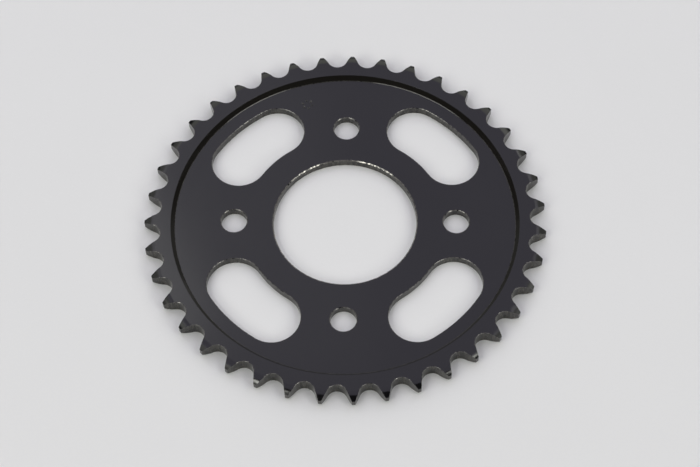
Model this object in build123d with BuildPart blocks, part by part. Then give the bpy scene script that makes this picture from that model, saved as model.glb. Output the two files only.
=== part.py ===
"""Rear sprocket for a small motorcycle: one steel plate, 39 teeth for 420 chain.

The plate lies on its back face in the XY plane, with the bore centre at the origin and +Z as the
spin axis. The recessed front face looks up, and the four bolt holes lie on the X and Y axes.
"""
from build123d import *
from math import asin, cos, degrees, radians, sin, tan
import os

os.makedirs("parts", exist_ok=True)

# Driving dimensions, in millimetres and degrees. First the chain
TOOTH_COUNT = 39
CHAIN_PITCH = 12.7
ROLLER_DIAMETER = 7.77

# Toothed rim
RIM_THICKNESS = 5.9
TIP_RADIUS = 81.25
TIP_ROUNDING = 0.3
TOOTH_EDGE_BREAK = 0.1
SEAT_CLEARANCE = 0.3        # between the roller and its seat
FLANK_HALF_ANGLE = 28.0     # between a flank and the centre line of its tooth gap
GAP_PHASE = 0.82            # of the first tooth gap, from the bolt hole on +X

# Side relief of the teeth, the same arc on both faces
RELIEF_START_RADIUS = 77.2
RELIEF_START_SLOPE = 8.0
RELIEF_ARC_RADIUS = 9.5
BLANK_ALLOWANCE = 0.5       # how far the turned blank stands outside the finished tips

# Recessed disc, and the conical step up to the rim
DISC_THICKNESS = 3.7
STEP_TOP_RADIUS = 70.5
STEP_FOOT_RADIUS = 68.95
STEP_FOOT_CORNER = 0.25     # the 45 degree corner that the turning tool leaves in the foot

# Hub fit: bore and bolt circle
BORE_RADIUS = 29.0
BORE_CHAMFER = 0.4
BOLT_COUNT = 4
BOLT_CIRCLE_RADIUS = 45.0
BOLT_HOLE_RADIUS = 5.25
BOLT_HOLE_CHAMFER = 0.3

# Lightening windows, one between each two bolt holes
WINDOW_CENTRE_RADIUS = 52.2
WINDOW_WIDTH = 22.7
WINDOW_HALF_SPAN = 11.8     # from a window's middle to the centre of its end arc
WINDOW_PHASE = 45.5
WINDOW_EDGE_BREAK = 0.2

# Index mark punched in the disc: a small ring of plain dots
MARK_RADIUS = 59.3
MARK_ANGLE = 106.2
MARK_RING_RADIUS = 1.9
DOT_COUNT = 6
DOT_RADIUS = 0.5
DOT_DEPTH = 0.3

# Worked out from the dimensions above
pitch_radius = CHAIN_PITCH / 2 / sin(radians(180 / TOOTH_COUNT))
seat_radius = ROLLER_DIAMETER / 2 + SEAT_CLEARANCE
blank_radius = TIP_RADIUS + BLANK_ALLOWANCE

relief_slope = radians(RELIEF_START_SLOPE)
relief_centre = RELIEF_START_RADIUS - RELIEF_ARC_RADIUS * sin(relief_slope)
relief_sweep = degrees(asin((blank_radius - relief_centre) / RELIEF_ARC_RADIUS)) - RELIEF_START_SLOPE

# A straight flank leaves the round seat where it is tangent to it, and runs out past the blank
flank_angle = radians(FLANK_HALF_ANGLE)
flank_start = (-seat_radius * sin(flank_angle), seat_radius * cos(flank_angle))
flank_reach = blank_radius - pitch_radius + 1
flank_end = (flank_reach, flank_start[1] + (flank_reach - flank_start[0]) * tan(flank_angle))

window_radii = (
    WINDOW_WIDTH / 2,
    WINDOW_CENTRE_RADIUS - WINDOW_WIDTH / 2,
    WINDOW_CENTRE_RADIUS + WINDOW_WIDTH / 2,
)

# Each punched dot is the cap of a ball
ball_radius = (DOT_RADIUS**2 + DOT_DEPTH**2) / (2 * DOT_DEPTH)
ball_height = DISC_THICKNESS - DOT_DEPTH + ball_radius


def round_edges(part, *radii):
    """The part's circles and arcs of any of these radii."""
    arcs = part.edges().filter_by(GeomType.CIRCLE)
    return arcs.filter_by(lambda arc: any(abs(arc.radius - radius) < 0.001 for radius in radii))


with BuildPart() as sprocket:
    # Toothed plate: what the roller seats leave of a disc, with the cut edges broken
    with BuildSketch() as teeth:
        Circle(TIP_RADIUS)
        with PolarLocations(pitch_radius, TOOTH_COUNT, start_angle=GAP_PHASE):
            Circle(seat_radius, mode=Mode.SUBTRACT)
            Polygon(
                flank_start,
                (flank_start[0], -flank_start[1]),
                (flank_end[0], -flank_end[1]),
                flank_end,
                align=None,
                mode=Mode.SUBTRACT,
            )
        tip_corners = teeth.vertices().filter_by(
            lambda corner: corner.center().length > TIP_RADIUS - 0.001
        )
        fillet(tip_corners, TIP_ROUNDING)
    extrude(amount=RIM_THICKNESS)
    faces = sprocket.faces().filter_by(Axis.Z)
    chamfer(faces.edges(), TOOTH_EDGE_BREAK)

    # Turned shape: the half section of the rim, step and disc, spun about the axis of the bore
    with BuildSketch(Plane.XZ):
        with BuildLine():
            back_relief = JernArc(
                start=(RELIEF_START_RADIUS, 0),
                tangent=(cos(relief_slope), sin(relief_slope)),
                radius=RELIEF_ARC_RADIUS,
                arc_size=relief_sweep,
            )
            front_relief = JernArc(
                start=(RELIEF_START_RADIUS, RIM_THICKNESS),
                tangent=(cos(relief_slope), -sin(relief_slope)),
                radius=RELIEF_ARC_RADIUS,
                arc_size=-relief_sweep,
            )
            Line(back_relief @ 1, front_relief @ 1)
            Polyline(
                front_relief @ 0,
                (STEP_TOP_RADIUS, RIM_THICKNESS),
                (STEP_FOOT_RADIUS + STEP_FOOT_CORNER, DISC_THICKNESS + STEP_FOOT_CORNER),
                (STEP_FOOT_RADIUS, DISC_THICKNESS),
                (BORE_RADIUS, DISC_THICKNESS),
                (BORE_RADIUS, 0),
                back_relief @ 0,
            )
        make_face()
    revolve(axis=Axis.Z, mode=Mode.INTERSECT)
    chamfer(round_edges(sprocket, BORE_RADIUS), BORE_CHAMFER)

    # Lightening windows
    with BuildSketch():
        with PolarLocations(0, BOLT_COUNT, start_angle=WINDOW_PHASE):
            SlotArc(
                arc=CenterArc(
                    center=(0, 0),
                    radius=WINDOW_CENTRE_RADIUS,
                    start_angle=-WINDOW_HALF_SPAN,
                    arc_size=2 * WINDOW_HALF_SPAN,
                    mode=Mode.PRIVATE,
                ),
                height=WINDOW_WIDTH,
            )
    extrude(amount=RIM_THICKNESS, mode=Mode.SUBTRACT)
    chamfer(round_edges(sprocket, *window_radii), WINDOW_EDGE_BREAK)

    # Bolt holes
    with PolarLocations(BOLT_CIRCLE_RADIUS, BOLT_COUNT):
        Hole(BOLT_HOLE_RADIUS)
    chamfer(round_edges(sprocket, BOLT_HOLE_RADIUS), BOLT_HOLE_CHAMFER)

    # Index mark
    with Locations((0, 0, ball_height)):
        with PolarLocations(MARK_RADIUS, 1, MARK_ANGLE):
            with PolarLocations(MARK_RING_RADIUS, DOT_COUNT):
                Sphere(ball_radius, mode=Mode.SUBTRACT)

sprocket.part.label = "sprocket"
export_step(sprocket.part, "parts/sprocket.step")
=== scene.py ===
"""A black rear sprocket lying on a pale sheet, under soft studio light."""
import math

import bpy
from mathutils import Matrix, Vector


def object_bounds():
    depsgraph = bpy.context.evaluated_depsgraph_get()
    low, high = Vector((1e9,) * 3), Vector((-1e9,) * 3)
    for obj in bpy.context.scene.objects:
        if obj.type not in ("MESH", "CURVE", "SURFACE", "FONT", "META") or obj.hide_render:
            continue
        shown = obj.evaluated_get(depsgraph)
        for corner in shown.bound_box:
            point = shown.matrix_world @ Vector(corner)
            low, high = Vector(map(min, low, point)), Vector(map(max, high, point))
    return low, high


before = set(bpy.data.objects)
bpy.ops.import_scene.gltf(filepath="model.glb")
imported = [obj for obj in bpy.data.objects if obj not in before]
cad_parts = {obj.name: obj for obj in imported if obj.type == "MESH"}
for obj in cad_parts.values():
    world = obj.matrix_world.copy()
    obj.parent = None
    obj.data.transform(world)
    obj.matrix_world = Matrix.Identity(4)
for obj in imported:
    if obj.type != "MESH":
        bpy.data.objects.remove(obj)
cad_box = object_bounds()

# Camera: where it stands round the sprocket's origin, in degrees and metres
CAMERA_AZIMUTH = 2.04
CAMERA_ELEVATION = 59.464
CAMERA_ROLL = -1.538
CAMERA_DISTANCE = 0.7833
CAMERA_OFFSET = (0.00197, -0.00316)
LENS_MM = 99.07
SENSOR_MM = 36.0

# Light tent: softboxes on a sphere round the sprocket. Azimuth and elevation of each one's centre in
# degrees, width and height in metres, radiance and colour
TENT_RADIUS = 1.3
COOL = (0.960, 0.924, 1.117)
PLAIN = (1.0, 1.01, 0.945)
SOFTBOXES = (
    (92, 72, 1.90, 1.60, 0.79, COOL),
    (90, 25, 1.40, 0.80, 0.95, PLAIN),
    (150, 34, 1.15, 0.85, 0.65, PLAIN),
    (38, 32, 1.10, 0.85, 0.60, PLAIN),
    (121, 57, 0.30, 0.32, 1.1, PLAIN),
    (107, 58, 0.34, 0.40, 0.14, PLAIN),
    (188, 48, 0.60, 0.41, 1.1, PLAIN),
    (224, 52, 0.68, 0.41, 0.9, PLAIN),
    (227, 55, 0.22, 0.22, 10.0, PLAIN),
    (228, 33, 0.95, 0.36, 3.3, PLAIN),
    (322, 30, 0.75, 0.40, 3.2, PLAIN),
    (334, 53, 0.22, 0.22, 7.0, PLAIN),
    (0, 35, 0.60, 0.34, 1.3, PLAIN),
    (0, 51, 0.68, 0.41, 0.8, PLAIN),
)

# Radius over which the coat rounds the sprocket's edges, in metres
EDGE_ROUNDING = 0.0001

# Coat and steel: base colours, as a dark and a light end where they vary
COAT_DARK = (0.0040, 0.0039, 0.0043, 1)
COAT_LIGHT = (0.0064, 0.0062, 0.0068, 1)
# Lighter, browner colour of the step between rim and disc: painted reflection, standing in for the low light
# its glossy sloped wall mirrors
STEP_PAINTED_REFLECTION = (0.0135, 0.0122, 0.0105, 1)
CUT_DARK = (0.008, 0.0075, 0.0065, 1)
CUT_LIGHT = (0.070, 0.067, 0.058, 1)
BARE_STEEL = (0.48, 0.46, 0.43, 1)
COAT_ROUGHNESS = 0.10
BARE_METALLIC = 0.85

# Sheet under the sprocket: side, the gap that keeps it clear of the back face, both in metres, and its
# base colours
SHEET_SIZE = 8.0
SHEET_GAP = 0.00003
PAPER_DARK = (0.77, 0.77, 0.77, 1)
PAPER_LIGHT = (0.81, 0.81, 0.81, 1)

# Radius of the crest of the step between rim and disc, and of the windows' centre line, in metres
STEP_RADIUS = 0.0705
WINDOW_RADIUS = 0.0522


def direction(azimuth, elevation):
    """Unit vector towards a compass azimuth (0 along +X, anticlockwise) and an elevation, in degrees."""
    a, e = math.radians(azimuth), math.radians(elevation)
    return Vector((math.cos(e) * math.cos(a), math.cos(e) * math.sin(a), math.sin(e)))


class Nodes:
    """Adds shader nodes to one tree, with the links and values given by socket name."""

    def __init__(self, tree):
        self.tree = tree
        tree.nodes.clear()

    def add(self, kind, inputs=None, **settings):
        node = self.tree.nodes.new(kind)
        for name, value in settings.items():
            setattr(node, name, value)
        for key, value in (inputs or {}).items():
            if isinstance(value, bpy.types.NodeSocket):
                self.tree.links.new(value, node.inputs[key])
            else:
                node.inputs[key].default_value = value
        return node

    def math(self, operation, *values):
        inputs = dict(enumerate(values))
        return self.add("ShaderNodeMath", inputs, operation=operation).outputs[0]

    def mix(self, factor, first, second):
        inputs = {0: factor, 6: first, 7: second}
        return self.add("ShaderNodeMix", inputs, data_type="RGBA").outputs[2]

    def noise(self, vector, scale, detail):
        inputs = {"Vector": vector, "Scale": scale, "Detail": detail}
        return self.add("ShaderNodeTexNoise", inputs).outputs["Fac"]

    def ramp(self, value, low, high):
        inputs = {"Value": value, "From Min": low, "From Max": high}
        return self.add("ShaderNodeMapRange", inputs, clamp=True).outputs[0]


def coated_steel():
    """Glossy black coat over turned steel: faint tool rings, browner walls, a lighter step whose colour is
    painted reflection, rubbed edges.
    """
    material = bpy.data.materials.new("coated_steel")
    material.use_nodes = True
    n = Nodes(material.node_tree)
    place = n.add("ShaderNodeTexCoord")
    spot = place.outputs["Object"]
    axes = n.add("ShaderNodeSeparateXYZ", {0: spot})
    across = n.math("POWER", axes.outputs[0], 2.0)
    along = n.math("POWER", axes.outputs[1], 2.0)
    radius = n.math("SQRT", n.math("ADD", across, along))
    facing = n.add("ShaderNodeSeparateXYZ", {0: place.outputs["Normal"]})
    upright = n.math("ABSOLUTE", facing.outputs[2])
    wall = n.ramp(upright, 0.4, 0.2)
    from_step = n.math("ABSOLUTE", n.math("SUBTRACT", radius, STEP_RADIUS))
    # Mask of the step's sloped faces, where the lighter colour is painted in as reflection
    step = n.math("MULTIPLY", n.ramp(upright, 0.95, 0.85), n.ramp(from_step, 0.0025, 0.0020))

    blotch = n.noise(spot, 60.0, 4.0)
    grain = n.noise(spot, 2500.0, 3.0)
    flake = n.noise(spot, 900.0, 2.0)
    drawn = n.add("ShaderNodeVectorMath", {0: spot, 1: (1.0, 1.0, 0.15)}, operation="MULTIPLY")
    fine_scores = n.math("MULTIPLY", n.noise(drawn.outputs["Vector"], 1400.0, 2.0), 0.6)
    broad_scores = n.math("MULTIPLY", n.noise(spot, 400.0, 2.0), 0.4)
    scored = n.ramp(n.math("ADD", fine_scores, broad_scores), 0.38, 0.62)
    rings = n.add(
        "ShaderNodeTexNoise",
        {"W": n.math("MULTIPLY", radius, 4000.0), "Scale": 1.0, "Detail": 2.0},
        noise_dimensions="1D",
    ).outputs["Fac"]

    # Worn edges: chamfers, which all lie at 45 degrees, and wherever a rounded corner would turn the surface,
    # but hardly any along the step, where nothing rubs, and half as much round the windows
    rounded = n.add("ShaderNodeBevel", {"Radius": EDGE_ROUNDING}, samples=6).outputs[0]
    true_normal = n.add("ShaderNodeNewGeometry").outputs["Normal"]
    turned = n.add("ShaderNodeVectorMath", {0: rounded, 1: true_normal}, operation="DOT_PRODUCT")
    corner = n.ramp(turned.outputs["Value"], 0.99, 0.85)
    tilt = n.math("ABSOLUTE", n.math("SUBTRACT", upright, 0.707))
    edge = n.math("MAXIMUM", corner, n.ramp(tilt, 0.07, 0.03))
    sheltered = n.ramp(from_step, 0.0012, 0.0035)
    edge = n.math("MULTIPLY", edge, sheltered)
    from_windows = n.math("ABSOLUTE", n.math("SUBTRACT", radius, WINDOW_RADIUS))
    exposed = n.math("ADD", n.math("MULTIPLY", n.ramp(from_windows, 0.012, 0.018), 0.5), 0.5)
    edge = n.math("MULTIPLY", edge, exposed)
    rubbed = n.math("MULTIPLY", edge, n.ramp(flake, 0.36, 0.62))

    coat = n.mix(blotch, COAT_DARK, COAT_LIGHT)
    cut = n.mix(scored, CUT_DARK, CUT_LIGHT)
    # The step's sloped faces take the lighter colour: painted reflection
    coat = n.mix(step, coat, STEP_PAINTED_REFLECTION)
    colour = n.mix(wall, coat, cut)
    colour = n.mix(rubbed, colour, BARE_STEEL)

    rough = n.math("ADD", n.math("MULTIPLY", blotch, 0.06), COAT_ROUGHNESS)
    rough = n.math("ADD", rough, n.math("MULTIPLY", rubbed, 0.06))
    relief = n.math("ADD", n.math("MULTIPLY", rings, 0.35), n.math("MULTIPLY", grain, 0.65))
    bump = n.add(
        "ShaderNodeBump",
        {"Height": relief, "Strength": 0.06, "Distance": 0.00002, "Normal": rounded},
    )
    shader = n.add(
        "ShaderNodeBsdfPrincipled",
        {
            "Base Color": colour,
            "Metallic": n.math("MULTIPLY", rubbed, BARE_METALLIC),
            "Roughness": rough,
            "Normal": bump.outputs[0],
            "IOR": 1.5,
        },
    )
    n.add("ShaderNodeOutputMaterial", {"Surface": shader.outputs[0]})
    return material


def paper():
    """Pale sheet with a faint, fine tooth."""
    material = bpy.data.materials.new("paper")
    material.use_nodes = True
    n = Nodes(material.node_tree)
    spot = n.add("ShaderNodeTexCoord").outputs["Object"]
    fibre = n.noise(spot, 900.0, 4.0)
    cloud = n.noise(spot, 12.0, 3.0)
    tone = n.math("ADD", n.math("MULTIPLY", fibre, 0.5), n.math("MULTIPLY", cloud, 0.5))
    colour = n.mix(tone, PAPER_DARK, PAPER_LIGHT)
    bump = n.add("ShaderNodeBump", {"Height": fibre, "Strength": 0.15, "Distance": 0.0001})
    shader = n.add(
        "ShaderNodeBsdfPrincipled",
        {"Base Color": colour, "Roughness": 0.9, "Normal": bump.outputs[0]},
    )
    n.add("ShaderNodeOutputMaterial", {"Surface": shader.outputs[0]})
    return material


def floor():
    bpy.ops.mesh.primitive_plane_add(size=SHEET_SIZE, location=(0, 0, cad_box[0][2] - SHEET_GAP))
    sheet = bpy.context.object
    sheet.name = "sheet"
    sheet.data.materials.append(paper())


def softbox(azimuth, elevation, width, height, radiance, colour):
    """A rectangular lamp on the light tent, facing the sprocket's centre; its face has this radiance."""
    lamp = bpy.data.lights.new("softbox", "AREA")
    lamp.shape = "RECTANGLE"
    lamp.size, lamp.size_y = width, height
    lamp.energy = radiance * math.pi * width * height
    lamp.color = colour
    holder = bpy.data.objects.new("softbox", lamp)
    holder.location = direction(azimuth, elevation) * TENT_RADIUS
    holder.rotation_euler = holder.location.to_track_quat("Z", "Y").to_euler()
    bpy.context.scene.collection.objects.link(holder)


def studio():
    """Soft light from all round but straight in front, as in a light tent that is open there."""
    for box in SOFTBOXES:
        softbox(*box)
    bpy.context.scene.view_settings.view_transform = "Standard"


def camera():
    lens = bpy.data.cameras.new("camera")
    lens.lens, lens.sensor_width = LENS_MM, SENSOR_MM
    lens.clip_start = 0.01
    holder = bpy.data.objects.new("camera", lens)
    turn = Matrix.Rotation(math.radians(CAMERA_AZIMUTH), 3, "Z")
    tilt = Matrix.Rotation(math.radians(90 - CAMERA_ELEVATION), 3, "X")
    roll = Matrix.Rotation(math.radians(CAMERA_ROLL), 3, "Z")
    aim = turn @ tilt @ roll
    place = aim @ Vector((*CAMERA_OFFSET, CAMERA_DISTANCE))
    holder.matrix_world = Matrix.Translation(place) @ aim.to_4x4()
    bpy.context.scene.collection.objects.link(holder)
    bpy.context.scene.camera = holder


steel = coated_steel()
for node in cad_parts.values():
    for slot in node.material_slots:
        slot.material = steel
floor()
studio()
camera()
